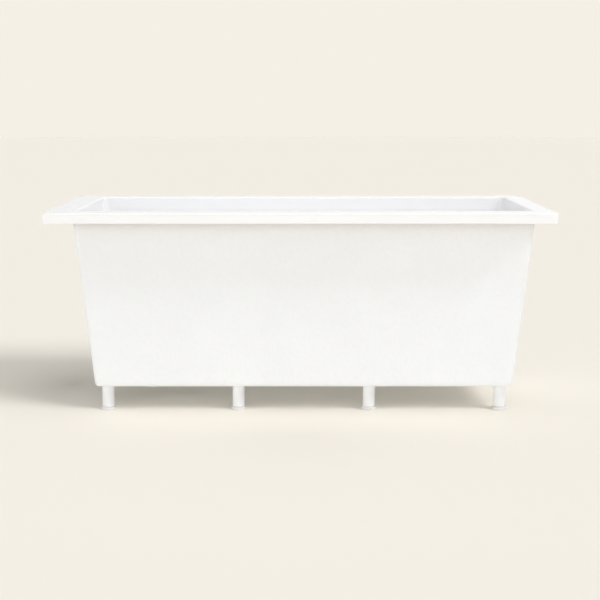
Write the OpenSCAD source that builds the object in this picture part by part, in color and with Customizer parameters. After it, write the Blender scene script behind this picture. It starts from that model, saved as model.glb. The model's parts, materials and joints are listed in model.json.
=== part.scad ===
// Rectangular bathtub on eight levelling legs: acrylic shell, fibreglass backing, waste and overflow set.
// +Z is up, the origin is on the floor under the centre of the rim, and lengths are in millimetres.

/* [Rim] */
// Length of the rim, along X
rim_l = 1500; // [1400:10:1700]
// Width of the rim, along Y
rim_w = 700; // [650:10:800]
// Height of the rim's top above the floor
rim_h = 620; // [560:5:680]
// Height of the turned-down lip
lip_h = 31; // [26:1:40]
// Overhang of the rim past the body, on the front and on the left
overhang_wide = 72; // [70:1:85]
// Overhang of the rim past the body, on the back and on the right
overhang_slim = 49; // [46:1:65]

/* [Shell] */
// Thickness of the acrylic sheet
sheet_t = 4; // [3:0.5:5]
// Thickness of the fibreglass on the walls
backing_t = 7; // [5:1:9]
// Angle of the walls from upright
draft_angle = 5.3; // [3:0.1:7]
// Radius of the rounded edge between the ledge and the basin
edge_r = 7.5; // [6:0.5:9]
// Radius of the basin's upright corners at the rim
corner_r_top = 18; // [14:1:30]
// Radius of the basin's upright corners at the floor
corner_r_low = 50; // [44:1:60]
// Radius between the basin's walls and its floor
floor_fillet = 40; // [30:1:42]
// Rise of the basin's floor, per unit length away from the drain
floor_fall = 0.008; // [0:0.001:0.01]
// Radius of the body's upright corners
body_corner_r = 15; // [14.5:0.5:20]
// Radius of the body's bottom edge
body_edge_r = 14; // [8:1:14]

/* [Legs] */
// Height of the body's underside above the floor
body_z = 77; // [74:1:90]
// Distance from a leg's axis to the body's bottom outline
leg_inset = 36; // [34:1:60]
// Outside diameter of a leg tube
leg_d = 37; // [35:1:38]
// Wall of a leg tube
leg_wall = 2.5; // [2:0.5:3]
// Diameter of a foot
foot_d = 45; // [42:1:50]
// Height of a foot
foot_h = 10.2; // [9.5:0.1:10.4]

/* [Waste and overflow] */
// Distance from the body's left side, at the rim, to the drain's axis
drain_from_end = 205; // [190:5:260]
// Distance from the rim's top down to the overflow's centre
overflow_drop = 100; // [90:1:140]
// Outside diameter of the overflow hose
hose_d = 30; // [28:1:30]
// Diameter of the pull cable's sheath
cable_d = 5; // [4:0.5:6]

/* [Hidden] */

$fn = 64;
eps = 0.01;
arc_steps = 8;
draft = tan(draft_angle);

// Body outline at the rim's top: centre and half sizes
body_cx = (overhang_wide - overhang_slim) / 2;
body_cy = (overhang_wide - overhang_slim) / 2;
body_hx = (rim_l - overhang_wide - overhang_slim) / 2;
body_hy = (rim_w - overhang_wide - overhang_slim) / 2;
wall_t = sheet_t + backing_t;
basin_hx = body_hx - wall_t;
basin_hy = body_hy - wall_t;

// Bottom sandwich: fibreglass skin, board, fibreglass bond, acrylic
skin_t = 3;
board_t = 16;
bond_t = 3;
board_z = body_z + skin_t;
floor_z = board_z + board_t + bond_t + sheet_t;
board_margin = 15;
fall_fade = 150;

// Rim build-up under the acrylic
lip_back_t = 3;
rim_board_t = 18;
rim_board_gap = 6;
lip_z = rim_h - lip_h;

// Legs, four in each of the two rows
legs_per_row = 4;
body_bottom_hx = body_hx - draft * (rim_h - body_z);
body_bottom_hy = body_hy - draft * (rim_h - body_z);
leg_span_x = body_bottom_hx - leg_inset;
leg_span_y = body_bottom_hy - leg_inset;
leg_pitch = 2 * leg_span_x / (legs_per_row - 1);
leg_z = foot_h + 0.3;
leg_bore_d = leg_d - 2 * leg_wall;
plug_h = 20;
bolt_d = 10;
bolt_head_h = 7;
hex_af = 17;
tee_d = 13;
tee_flange_d = 26;
tee_flange_t = 2;
insert_h = 20;
stud_d = 10;
collar_h = 5;
collar_pocket_d = 21;
stud_top_z = 47.5;
thread_gap = 0.05;

// Waste
drain_x = body_cx - body_hx + drain_from_end;
drain_y = body_cy;
sump_r = 46;
sump_drop = 1.5;
sump_z = floor_z - sump_drop;
waste_hole_r = 25.5;
waste_pocket_r = 52;
waste_pocket_z = sump_z - sheet_t - 6;
waste_seal_t = 1.5;
washer_t = 2;
flange_z = sump_z + waste_seal_t;
flange_t = 2.5;
flange_r = 35;
tail_r = 24.5;
tail_bore_r = 21;
waste_top_z = waste_pocket_z - washer_t;
barrel_r = 31;
barrel_bore_r = 24.6;
chamber_r = 22;
barrel_low_z = 31;
barrel_wall = 3;
socket_z = 72;
inlet_z = 50;
outlet_z = 50;
inlet_end = 60;
outlet_end = 48;
outlet_pipe_end = 215;
pipe_seat = 12.3;
outlet_d = 40;
seat_d = outlet_d - 2;

// Stopper and its rocker: the tip rises by 2 * rocker_arm * sin(rocker_swing / 2), about 10
rocker_arm = 14;
rocker_swing = 42;
rocker_z = 46;
rocker_x = drain_x - rocker_arm;
rocker_tip_r = 2.5;
stem_d = 6;
stem_low_z = rocker_z - rocker_arm * sin(rocker_swing / 2) + rocker_tip_r + 0.16;
stopper_r = 31;

// Overflow: its local +Z points into the basin and its local +X runs down the wall
overflow_z = rim_h - overflow_drop;
overflow_x = body_cx - basin_hx + draft * overflow_drop;
overflow_hole_r = 27;
wall_out = wall_t * cos(draft_angle);
overflow_seal_t = 3;
cup_depth = 32;
cup_r = 30;
cup_wall = 3;
hose_off = wall_out + 21;
spigot_d = 25;
spigot_end = 50;
hose_bend_r = 55;
nut_r = 20;
nut_l = 22;
cable_off_y = -26;
screw_off = 23.5;

// ---------- outlines and lofts ----------

// A rounded rectangle as a closed ring of points, whose height may tilt along X
function ring(cx, cy, hx, hy, r, z, tilt) = [
    for (corner = [0:3], i = [0:arc_steps])
        let (
            a = corner * 90 + i * 90 / arc_steps,
            sx = (corner == 0 || corner == 3) ? 1 : -1,
            sy = corner < 2 ? 1 : -1,
            x = cx + sx * (hx - r) + r * cos(a),
            y = cy + sy * (hy - r) + r * sin(a)
        )
        [x, y, z + tilt * (x - drain_x)]
];

// How much of the floor's fall a ring at height z takes: all of it at the floor, none well above it
function fall_at(z) = floor_fall * max(0, 1 - (z - floor_z) / fall_fade);

function corner_r_at(z) =
    corner_r_low + (corner_r_top - corner_r_low) * (z - floor_z) / (rim_h - floor_z);

// Rings of the basin surface moved outwards by t, as [inset, height, corner radius], from top to bottom.
function basin_profile(t) =
    let (
        r = floor_fillet + t,
        zc = floor_z + floor_fillet,
        z_tangent = zc - r * sin(draft_angle),
        i_tangent = draft * (rim_h - z_tangent),
        fade_z = floor_z + fall_fade
    )
    concat(
        [[draft * (rim_h - fade_z), fade_z, corner_r_at(fade_z) + t]],
        [
            for (k = [0:6])
                let (
                    a = draft_angle + (90 - draft_angle) * k / 6,
                    inward = r * (cos(draft_angle) - cos(a))
                )
                [i_tangent + inward, zc - r * sin(a), corner_r_low + t - inward]
        ]
    );

// Skins a stack of rings of equal length, listed from top to bottom
module loft(rings) {
    n = len(rings[0]);
    m = len(rings);
    points = [for (r = rings, p = r) p];
    top = [for (i = [n - 1:-1:0]) i];
    bottom = [for (i = [0:n - 1]) (m - 1) * n + i];
    sides = [
        for (k = [0:m - 2], i = [0:n - 1])
            let (a = k * n + i, b = k * n + (i + 1) % n)
            each [[a, b, b + n], [a, b + n, a + n]]
    ];
    polyhedron(points, concat([top], sides, [bottom]), convexity = 6);
}

// Rings of the rounded edge of radius r between the ledge at height z and the wall
function rounded_edge(r, z, corner_r) = [
    for (k = [0:4])
        let (a = 90 * k / 4, out = r * (1 - sin(a)))
        [-out, z - r * (1 - cos(a)), corner_r + out]
];

// The basin's hollow, with the rounded edge at the ledge
module basin_hollow() {
    above = [[-edge_r, rim_h + 10, corner_r_top + edge_r]];
    profile = concat(above, rounded_edge(edge_r, rim_h, corner_r_top), basin_profile(0));
    loft([
        for (p = profile)
            ring(body_cx, body_cy, basin_hx - p[0], basin_hy - p[0], p[2], p[1], fall_at(p[1]))
    ]);
}

// The space that the acrylic basin takes, sheet included
module basin_outside() {
    hx = basin_hx + sheet_t;
    hy = basin_hy + sheet_t;
    edge = rounded_edge(edge_r - sheet_t, rim_h - sheet_t, corner_r_top + sheet_t);
    profile = concat(edge, basin_profile(sheet_t));
    loft([
        for (p = profile)
            ring(body_cx, body_cy, hx - p[0], hy - p[0], p[2], p[1], fall_at(p[1] + sheet_t))
    ]);
    translate([drain_x, drain_y, sump_z - sheet_t]) cylinder(r = sump_r + sheet_t, h = 8);
}

// The body's outside, from under the ledge to the bottom
module body_outside() {
    top_z = rim_h - sheet_t;
    r = body_edge_r;
    zc = body_z + r;
    z_tangent = zc - r * sin(draft_angle);
    i_tangent = draft * (rim_h - z_tangent);
    edge = [
        for (k = [0:4])
            let (
                a = draft_angle + (90 - draft_angle) * k / 4,
                inward = r * (cos(draft_angle) - cos(a))
            )
            [i_tangent + inward, zc - r * sin(a), body_corner_r - inward]
    ];
    profile = concat([[draft * sheet_t, top_z, body_corner_r]], edge);
    loft([
        for (p = profile)
            ring(body_cx, body_cy, body_hx - p[0], body_hy - p[0], p[2], p[1], 0)
    ]);
}

module rim_block(inset, low, high) {
    translate([-rim_l / 2 + inset, -rim_w / 2 + inset, low])
        cube([rim_l - 2 * inset, rim_w - 2 * inset, high - low]);
}

module hexagon(af, h) {
    cylinder(d = af / cos(30), h = h, $fn = 6);
}

// ---------- shell ----------

module acrylic_shell() {
    color("white") difference() {
        union() {
            difference() {
                rim_block(0, lip_z, rim_h);
                rim_block(sheet_t, lip_z - 1, rim_h - sheet_t);
            }
            basin_outside();
        }
        basin_hollow();
        translate([drain_x, drain_y, sump_z]) cylinder(r = sump_r, h = 10);
        translate([drain_x, drain_y, sump_z - 20]) cylinder(r = waste_hole_r, h = 40);
        at_overflow() translate([0, 0, -40]) cylinder(r = overflow_hole_r, h = 80);
    }
}

module fibreglass_backing() {
    color("whitesmoke") difference() {
        union() {
            difference() {
                rim_block(sheet_t, lip_z + 0.5, rim_h - sheet_t);
                rim_block(sheet_t + lip_back_t, lip_z - 1, rim_h - sheet_t - lip_back_t);
            }
            body_outside();
        }
        basin_outside();
        board_space(0);
        translate([drain_x, drain_y, body_z - 1])
            cylinder(r = waste_pocket_r, h = waste_pocket_z - body_z + 1);
        translate([drain_x, drain_y, body_z]) cylinder(r = waste_hole_r, h = 40);
        at_overflow() translate([0, 0, -40]) cylinder(r = overflow_hole_r, h = 80);
        at_legs() translate([0, 0, body_z - 1]) cylinder(d = tee_d, h = 10);
    }
}

// The board's slab, whose drain cut-out leaves a collar of fibreglass
module board_space(extra) {
    hx = body_bottom_hx - board_margin;
    hy = body_bottom_hy - board_margin;
    difference() {
        translate([body_cx - hx, body_cy - hy, board_z]) cube([2 * hx, 2 * hy, board_t]);
        translate([drain_x, drain_y, board_z - 1]) cylinder(r = waste_pocket_r + 6, h = board_t + 2);
    }
}

module base_board() {
    color("burlywood") difference() {
        board_space(0);
        at_legs() translate([0, 0, board_z - 1]) cylinder(d = tee_d, h = board_t + 2);
        at_legs() translate([0, 0, board_z + board_t - tee_flange_t]) cylinder(d = tee_flange_d, h = 10);
    }
}

// One stiffening strip under the ledge, given the corners of its plan
module rim_board(x0, y0, x1, y1) {
    top_z = rim_h - sheet_t - lip_back_t;
    color("burlywood") translate([x0, y0, top_z - rim_board_t]) cube([x1 - x0, y1 - y0, rim_board_t]);
}

board_x = rim_l / 2 - sheet_t - lip_back_t;
board_y = rim_w / 2 - sheet_t - lip_back_t;
wide_edge = overhang_wide - rim_board_gap;
slim_edge = overhang_slim - rim_board_gap;

module rim_board_front() {
    rim_board(-board_x, -board_y, board_x, -rim_w / 2 + wide_edge);
}

module rim_board_back() {
    rim_board(-board_x, rim_w / 2 - slim_edge, board_x, board_y);
}

module rim_board_left() {
    rim_board(-board_x, -rim_w / 2 + wide_edge, -rim_l / 2 + wide_edge, rim_w / 2 - slim_edge);
}

module rim_board_right() {
    rim_board(rim_l / 2 - slim_edge, -rim_w / 2 + wide_edge, board_x, rim_w / 2 - slim_edge);
}

// ---------- legs ----------

// Axis of leg k: 1 to 4 along the front from the left, 5 to 8 along the back
function leg_at(k) = [
    body_cx - leg_span_x + ((k - 1) % legs_per_row) * leg_pitch,
    body_cy + (k <= legs_per_row ? -1 : 1) * leg_span_y,
    0
];

module at_legs() {
    for (k = [1:2 * legs_per_row]) translate(leg_at(k)) children();
}

module leg_tube(k) {
    color("white") translate(leg_at(k)) translate([0, 0, leg_z]) difference() {
        cylinder(d = leg_d, h = body_z - leg_z);
        translate([0, 0, -1]) cylinder(d = leg_bore_d, h = body_z);
    }
}

module leg_plugs() {
    color("white") at_legs() translate([0, 0, body_z - plug_h]) difference() {
        cylinder(d = leg_bore_d, h = plug_h);
        translate([0, 0, -1]) cylinder(d = bolt_d, h = plug_h + 2);
    }
}

module leg_bolts() {
    head_z = body_z - plug_h - bolt_head_h;
    color("silver") at_legs() translate([0, 0, head_z]) {
        hexagon(hex_af, bolt_head_h);
        translate([0, 0, bolt_head_h - eps]) cylinder(d = bolt_d, h = plug_h + skin_t + board_t - 4);
    }
}

module tee_nuts() {
    color("silver") at_legs() difference() {
        union() {
            translate([0, 0, board_z]) cylinder(d = tee_d, h = board_t);
            translate([0, 0, board_z + board_t - tee_flange_t])
                cylinder(d = tee_flange_d, h = tee_flange_t);
        }
        translate([0, 0, board_z - 1]) cylinder(d = bolt_d, h = board_t + 2);
    }
}

module leg_inserts() {
    color("gainsboro") at_legs() translate([0, 0, leg_z]) difference() {
        cylinder(d = leg_bore_d, h = insert_h);
        translate([0, 0, -1]) cylinder(d = collar_pocket_d, h = collar_h + 2);
        translate([0, 0, -1]) cylinder(d = stud_d + 2 * thread_gap, h = insert_h + 2);
    }
}

// The foot's cap, with a closed pocket in which the stud's base turns
module foot_cap(k) {
    r = foot_d / 2;
    round = 2.5;
    color("white") translate(leg_at(k)) rotate_extrude() difference() {
        union() {
            square([r - round, foot_h]);
            translate([0, round]) square([r, foot_h - 2 * round]);
            translate([r - round, round]) circle(r = round, $fn = 32);
            translate([r - round, foot_h - round]) circle(r = round, $fn = 32);
        }
        translate([-1, 2.7]) square([9.3, 3.6]);
        translate([-1, 6]) square([6.3, 10]);
    }
}

// The levelling stud: base, shank and hexagonal collar
module foot_stud(k) {
    color("silver") translate(leg_at(k)) {
        translate([0, 0, 3]) cylinder(d = 16, h = 3);
        translate([0, 0, 3]) cylinder(d = stud_d, h = stud_top_z - 4);
        translate([0, 0, stud_top_z - 1 - eps]) cylinder(d1 = stud_d, d2 = stud_d - 2, h = 1);
        translate([0, 0, leg_z + 0.1]) hexagon(hex_af, collar_h);
    }
}

// ---------- waste ----------

module at_drain(z) {
    translate([drain_x, drain_y, z]) children();
}

module waste_flange() {
    arm_z = 77;
    arm_h = 6;
    arm_reach = tail_bore_r + 0.5;
    color("silver") at_drain(0) {
        rotate_extrude() polygon([
            [tail_bore_r, arm_z - 4],
            [tail_r, arm_z - 4],
            [tail_r, flange_z],
            [flange_r, flange_z],
            [flange_r, flange_z + 1],
            [flange_r - 1.5, flange_z + flange_t],
            [28, flange_z + flange_t],
            [22, flange_z + flange_t - 6],
            [tail_bore_r, flange_z + flange_t - 7]
        ]);
        difference() {
            union() {
                translate([0, 0, arm_z]) cylinder(r = 6, h = arm_h);
                for (a = [0, 90])
                    rotate(a) translate([-arm_reach, -1.5, arm_z]) cube([2 * arm_reach, 3, arm_h]);
            }
            translate([0, 0, arm_z - 1]) cylinder(d = stem_d + 0.16, h = arm_h + 2);
        }
    }
}

module flat_ring(outer_r, inner_r, h) {
    difference() {
        cylinder(r = outer_r, h = h);
        translate([0, 0, -1]) cylinder(r = inner_r, h = h + 2);
    }
}

module waste_seal() {
    color("dimgray") at_drain(sump_z) flat_ring(flange_r - 0.5, waste_hole_r, waste_seal_t);
}

module waste_washer() {
    color("dimgray") at_drain(waste_top_z) flat_ring(35, waste_hole_r, washer_t);
}

// The body under the drain: threaded socket, chamber, hose inlet, outlet spigot, cable gland
module waste_body() {
    color("gainsboro") difference() {
        union() {
            at_drain(waste_top_z - 4) cylinder(r = 36, h = 4);
            at_drain(barrel_low_z) cylinder(r = barrel_r, h = waste_top_z - barrel_low_z);
            at_drain(inlet_z) rotate([0, -90, 0]) cylinder(d = spigot_d, h = inlet_end);
            at_drain(outlet_z) rotate([0, 90, 0]) cylinder(d = seat_d, h = outlet_end);
            translate([drain_x, drain_y + cable_off_y, inlet_z])
                rotate([0, -90, 0]) cylinder(d = 9, h = 36);
        }
        at_drain(barrel_low_z + barrel_wall) cylinder(r = chamber_r, h = 80);
        at_drain(socket_z) cylinder(r = barrel_bore_r, h = 40);
        at_drain(inlet_z) rotate([0, -90, 0]) cylinder(d = spigot_d - 5, h = inlet_end + 1);
        at_drain(outlet_z) rotate([0, 90, 0]) cylinder(d = outlet_d - 6, h = outlet_end + 1);
        translate([rocker_x, drain_y, rocker_z])
            rotate([90, 0, 0]) cylinder(d = 5.1, h = 50, center = true);
    }
}

module outlet_seal() {
    color("dimgray") translate([drain_x + outlet_end, drain_y, outlet_z]) rotate([0, 90, 0])
        flat_ring(seat_d / 2, outlet_d / 2 - 3, 2);
}

module outlet_nut() {
    start = outlet_end - 14;
    color("gainsboro") translate([drain_x + start, drain_y, outlet_z]) rotate([0, 90, 0]) difference() {
        union() {
            cylinder(r = 23, h = 28);
            for (a = [0:30:330])
                rotate(a) translate([22.4, 0, 4]) cylinder(r = 1.6, h = 20, $fn = 24);
        }
        translate([0, 0, -1]) cylinder(d = seat_d, h = 30);
    }
}

// The pipe's end inside the nut is turned down to the seat
module outlet_pipe() {
    start = outlet_end + 2;
    color("gainsboro") translate([drain_x + start, drain_y, outlet_z]) rotate([0, 90, 0]) difference() {
        union() {
            cylinder(d = seat_d, h = 20);
            translate([0, 0, pipe_seat]) cylinder(d = outlet_d, h = outlet_pipe_end - start - pipe_seat);
        }
        translate([0, 0, -1]) cylinder(d = outlet_d - 6, h = outlet_pipe_end);
    }
}

// ---------- stopper ----------

stopper_z = flange_z + flange_t + 0.4;

module stopper_cap() {
    color("silver") at_drain(stopper_z) difference() {
        union() {
            cylinder(r = stopper_r, h = 3);
            translate([0, 0, 3]) intersection() {
                translate([0, 0, -158]) sphere(r = 161.2, $fn = 200);
                cylinder(r = stopper_r, h = 6);
            }
            translate([0, 0, -6]) cylinder(r = 8, h = 7);
        }
        translate([0, 0, -7]) cylinder(d = stem_d, h = 9);
    }
}

module stopper_seal() {
    color("dimgray") at_drain(stopper_z - 3) flat_ring(24.9, 8, 3);
}

module stopper_stem() {
    color("goldenrod") at_drain(stem_low_z) cylinder(d = stem_d, h = stopper_z + 2 - stem_low_z);
}

// The rocker: pivot pin, arm and tip roller under the stem, at the stopper's closed position
module lift_rocker() {
    color("goldenrod") translate([rocker_x, drain_y, rocker_z]) rotate([0, rocker_swing / 2, 0]) {
        rotate([90, 0, 0]) cylinder(d = 5, h = 49, center = true);
        translate([0, -3, -1.6]) cube([rocker_arm, 6, 3.2]);
        translate([rocker_arm, 0, 0]) rotate([90, 0, 0]) cylinder(r = rocker_tip_r, h = 8, center = true);
    }
}

// ---------- overflow ----------

module at_overflow() {
    translate([overflow_x, body_cy, overflow_z]) rotate([0, 90 - draft_angle, 0]) children();
}

module overflow_knob() {
    color("silver") at_overflow() difference() {
        union() {
            translate([0, 0, 8]) cylinder(r = 33, h = 8);
            translate([0, 0, 16 - eps]) cylinder(r1 = 33, r2 = 30, h = 3);
            translate([-27, -5, 18]) cube([54, 10, 8]);
        }
        translate([0, 0, 7]) cylinder(r = 30, h = 7);
        translate([0, 0, 7]) cylinder(d = 8, h = 8);
    }
    color("silver") at_overflow() translate([0, 0, 6]) flat_ring(8, 4, 8);
}

// The spindle through the plate, with the crank that pulls the cable behind the wall
module overflow_crank() {
    color("goldenrod") at_overflow() {
        translate([0, 0, -30]) cylinder(d = 8, h = 45);
        translate([0, 0, -30]) cylinder(r = 7, h = 4);
        translate([0, -3.5, -30]) cube([14, 7, 4]);
        translate([14, 0, -30]) cylinder(r = 3.5, h = 4);
    }
}

module overflow_plate() {
    color("silver") at_overflow() difference() {
        union() {
            cylinder(r = 32, h = 3);
            translate([0, 0, -6]) cylinder(r = 9, h = 9);
        }
        translate([0, 0, -7]) cylinder(d = 8.1, h = 20);
        for (a = [0:60:300]) rotate(a + 30) translate([16, 0, -1]) cylinder(r = 5.5, h = 10);
        at_screws() translate([0, 0, -1]) cylinder(d = 5, h = 10);
    }
}

module at_screws() {
    for (y = [-screw_off, screw_off]) translate([0, y, 0]) children();
}

// Two screws hold the plate to the body behind the wall
module overflow_screws() {
    color("silver") at_overflow() at_screws() {
        translate([0, 0, 3]) cylinder(r1 = 4, r2 = 3, h = 1.8);
        translate([0, 0, -wall_out - 10]) cylinder(d = 5, h = wall_out + 13.5);
    }
}

module overflow_seal() {
    color("dimgray") at_overflow() translate([0, 0, -wall_out - overflow_seal_t])
        flat_ring(36, overflow_hole_r, overflow_seal_t);
}

module overflow_body() {
    face = -wall_out - overflow_seal_t;
    color("gainsboro") at_overflow() difference() {
        union() {
            translate([0, 0, face - 4]) cylinder(r = 36, h = 4);
            translate([0, 0, face - cup_depth]) cylinder(r = cup_r, h = cup_depth);
            translate([0, 0, -hose_off]) rotate([0, 90, 0]) cylinder(d = spigot_d, h = spigot_end);
            translate([0, cable_off_y, -hose_off]) rotate([0, 90, 0]) cylinder(d = 9, h = 30);
        }
        translate([0, 0, face - cup_depth + cup_wall]) cylinder(r = cup_r - cup_wall, h = cup_depth);
        translate([0, 0, -hose_off]) rotate([0, 90, 0]) cylinder(d = spigot_d - 5, h = spigot_end + 1);
    }
    color("gainsboro") at_overflow() at_screws() translate([0, 0, face - 20]) difference() {
        cylinder(r = 4.5, h = 20);
        translate([0, 0, -1]) cylinder(d = 5, h = 30);
    }
}

// ---------- hose and cable ----------

// A point of the overflow's local frame, x down the wall and z into the basin, as [X, Z] of the part
function off_wall(x, z) = [
    overflow_x + x * sin(draft_angle) + z * cos(draft_angle),
    overflow_z - x * cos(draft_angle) + z * sin(draft_angle)
];

bend_turn = 90 - draft_angle;
bend_tangent = hose_bend_r * tan(bend_turn / 2);
fall_len = (off_wall(0, -hose_off)[1] - inlet_z) / cos(draft_angle);
bend_start = off_wall(fall_len - bend_tangent, -hose_off);
bend_centre = [off_wall(fall_len, -hose_off)[0] + bend_tangent, inlet_z + hose_bend_r];

// Centre line down the wall, round under the body and along to the drain, as [X, Z] points
function drop_route(start, end_x, steps) = concat(
    [off_wall(start, -hose_off)],
    [
        for (k = [0:steps])
            let (a = 180 + draft_angle + bend_turn * k / steps)
            bend_centre + hose_bend_r * [cos(a), sin(a)]
    ],
    [[end_x, inlet_z]]
);

function unit(v) = norm(v) > 0 ? v / norm(v) : v;

// Sweeps a round tube of radius r along points of the XZ plane at the given Y
module sweep_xz(route, y, r, sides) {
    n = len(route);
    rings = [
        for (k = [0:n - 1])
            let (
                back = k == 0 ? [0, 0] : route[k] - route[k - 1],
                ahead = k == n - 1 ? [0, 0] : route[k + 1] - route[k],
                dir = unit(back) + unit(ahead),
                side = r * [-dir[1], dir[0]] / norm(dir)
            )
            [
                for (s = [0:sides - 1])
                    let (a = 360 * s / sides, at = route[k] + cos(a) * side)
                    [at[0], y + r * sin(a), at[1]]
            ]
    ];
    loft(rings);
}

module overflow_hose() {
    route = drop_route(spigot_end, drain_x - inlet_end, 14);
    bore_route = drop_route(spigot_end - 1, drain_x - inlet_end + 1, 14);
    color("gainsboro") difference() {
        sweep_xz(route, body_cy, hose_d / 2, 20);
        sweep_xz(bore_route, body_cy, hose_d / 2 - 2.5, 20);
    }
}

// A nut that grips the hose at one end and the spigot at the other
module hose_nut() {
    difference() {
        union() {
            cylinder(r = nut_r - 1, h = nut_l);
            for (a = [0:30:330])
                rotate(a) translate([nut_r - 1.5, 0, 2]) cylinder(r = 1.5, h = nut_l - 4, $fn = 24);
        }
        translate([0, 0, -1]) cylinder(d = spigot_d, h = nut_l / 2 + 1);
        translate([0, 0, nut_l / 2]) cylinder(d = hose_d + 0.6, h = nut_l);
    }
}

module hose_nuts() {
    color("gainsboro") at_overflow()
        translate([spigot_end - nut_l / 2, 0, -hose_off]) rotate([0, 90, 0]) hose_nut();
    color("gainsboro") translate([drain_x - inlet_end + nut_l / 2, body_cy, inlet_z])
        rotate([0, -90, 0]) hose_nut();
}

module pull_cable() {
    route = drop_route(30, drain_x - 36, 24);
    color("black") sweep_xz(route, body_cy + cable_off_y, cable_d / 2, 8);
}

// ---------- the nodes ----------

acrylic_shell();
fibreglass_backing();
base_board();
rim_board_front();
rim_board_back();
rim_board_left();
rim_board_right();
for (k = [1:2 * legs_per_row]) {
    leg_tube(k);
    foot_cap(k);
    foot_stud(k);
}
leg_plugs();
leg_bolts();
tee_nuts();
leg_inserts();
waste_flange();
waste_seal();
waste_washer();
waste_body();
stopper_cap();
stopper_seal();
stopper_stem();
lift_rocker();
outlet_nut();
outlet_seal();
outlet_pipe();
overflow_knob();
overflow_crank();
overflow_plate();
overflow_screws();
overflow_seal();
overflow_body();
overflow_hose();
hose_nuts();
pull_cable();
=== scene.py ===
"""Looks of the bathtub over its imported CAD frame: acrylic, laminate, legs, waste and overflow."""
import json
import math
import bmesh
import bpy
from mathutils import Matrix, Vector, noise


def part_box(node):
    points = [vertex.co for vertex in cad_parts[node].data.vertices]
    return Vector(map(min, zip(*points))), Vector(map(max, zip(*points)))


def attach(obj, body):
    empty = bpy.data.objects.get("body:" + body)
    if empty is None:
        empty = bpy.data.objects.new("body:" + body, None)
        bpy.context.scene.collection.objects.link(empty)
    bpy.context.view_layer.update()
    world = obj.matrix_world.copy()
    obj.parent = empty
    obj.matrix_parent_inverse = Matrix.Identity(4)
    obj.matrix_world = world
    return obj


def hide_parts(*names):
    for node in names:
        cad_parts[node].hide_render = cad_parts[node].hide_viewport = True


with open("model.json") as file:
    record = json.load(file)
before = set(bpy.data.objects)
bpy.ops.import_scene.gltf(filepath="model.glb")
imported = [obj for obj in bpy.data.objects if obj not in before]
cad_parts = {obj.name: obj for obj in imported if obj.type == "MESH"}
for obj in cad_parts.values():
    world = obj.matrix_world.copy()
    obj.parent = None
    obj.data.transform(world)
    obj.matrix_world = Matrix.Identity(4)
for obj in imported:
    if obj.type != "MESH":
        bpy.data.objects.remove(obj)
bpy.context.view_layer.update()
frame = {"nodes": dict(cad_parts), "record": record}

nodes = frame["nodes"]
scene = bpy.context.scene

# ---------- sizes, in metres ----------

_, rim_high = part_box("acrylic_shell")
TOP = rim_high.z
RIM_X, RIM_Y = rim_high.x, rim_high.y
LIP = 0.031
WIDE, SLIM = 0.072, 0.049
SHEET, WALL = 0.004, 0.011  # acrylic alone, acrylic with its backing
LEAN = 5.3
DRAFT = math.tan(math.radians(LEAN))
DRAFT_COS, DRAFT_SIN = math.cos(math.radians(LEAN)), math.sin(math.radians(LEAN))
HALF_TURN = math.tan(math.radians((90 - LEAN) / 2))
CX = CY = (WIDE - SLIM) / 2
BODY_X = RIM_X - (WIDE + SLIM) / 2
BODY_Y = RIM_Y - (WIDE + SLIM) / 2
BASIN_X, BASIN_Y = BODY_X - WALL, BODY_Y - WALL
BODY_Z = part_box("fibreglass_backing")[0].z
FLOOR_Z = BODY_Z + 0.026
EDGE_R = 0.0075
CORNER_TOP, CORNER_LOW = 0.018, 0.050
FILLET = 0.040
FALL, FADE = 0.008, 0.150
DRAIN_X, DRAIN_Y = CX - BODY_X + 0.205, CY
SUMP_Z = FLOOR_Z - 0.0015
DRAIN_HOLE_R = 0.0255
OVERFLOW_HOLE_R = 0.027
OVER_X = CX - BASIN_X + DRAFT * 0.100
OVER_Z = TOP - 0.100

# The overflow's own frame: its Z points into the basin, its X runs down the wall
overflow_frame = Matrix((
    (DRAFT_SIN, 0, DRAFT_COS, OVER_X),
    (0, 1, 0, CY),
    (-DRAFT_COS, 0, DRAFT_SIN, OVER_Z),
    (0, 0, 0, 1),
))

# ---------- mesh helpers ----------

ON_AXIS = 1e-7


def ring(hx, hy, r, z, arc_n, nx, ny, cx=CX, cy=CY, tilt=0.0):
    """A rounded rectangle as points, anticlockwise from above.

    Calls with the same arc_n, nx and ny give the same number of points.
    """
    pts = []
    corners = ((1, 1, 0, nx), (-1, 1, 90, ny), (-1, -1, 180, nx), (1, -1, 270, ny))
    for i, (sx, sy, start, n) in enumerate(corners):
        ox, oy = cx + sx * (hx - r), cy + sy * (hy - r)
        for k in range(arc_n + 1):
            a = math.radians(start + 90 * k / arc_n)
            pts.append((ox + r * math.cos(a), oy + r * math.sin(a)))
        tx, ty, end, _ = corners[(i + 1) % 4]
        a = math.radians(end)
        x0, y0 = pts[-1]
        x1, y1 = cx + tx * (hx - r) + r * math.cos(a), cy + ty * (hy - r) + r * math.sin(a)
        for k in range(1, n):
            pts.append((x0 + (x1 - x0) * k / n, y0 + (y1 - y0) * k / n))
    return [Vector((x, y, z + tilt * (x - DRAIN_X))) for x, y in pts]


def circle_like(base, r, z):
    """A circle round the drain whose points lie in the same directions as those of base."""
    pts = []
    for p in base:
        d = Vector((p.x - DRAIN_X, p.y - DRAIN_Y)).normalized()
        pts.append(Vector((DRAIN_X + r * d.x, DRAIN_Y + r * d.y, z)))
    return pts


def between(a, b, t):
    return [p.lerp(q, t) for p, q in zip(a, b)]


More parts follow.
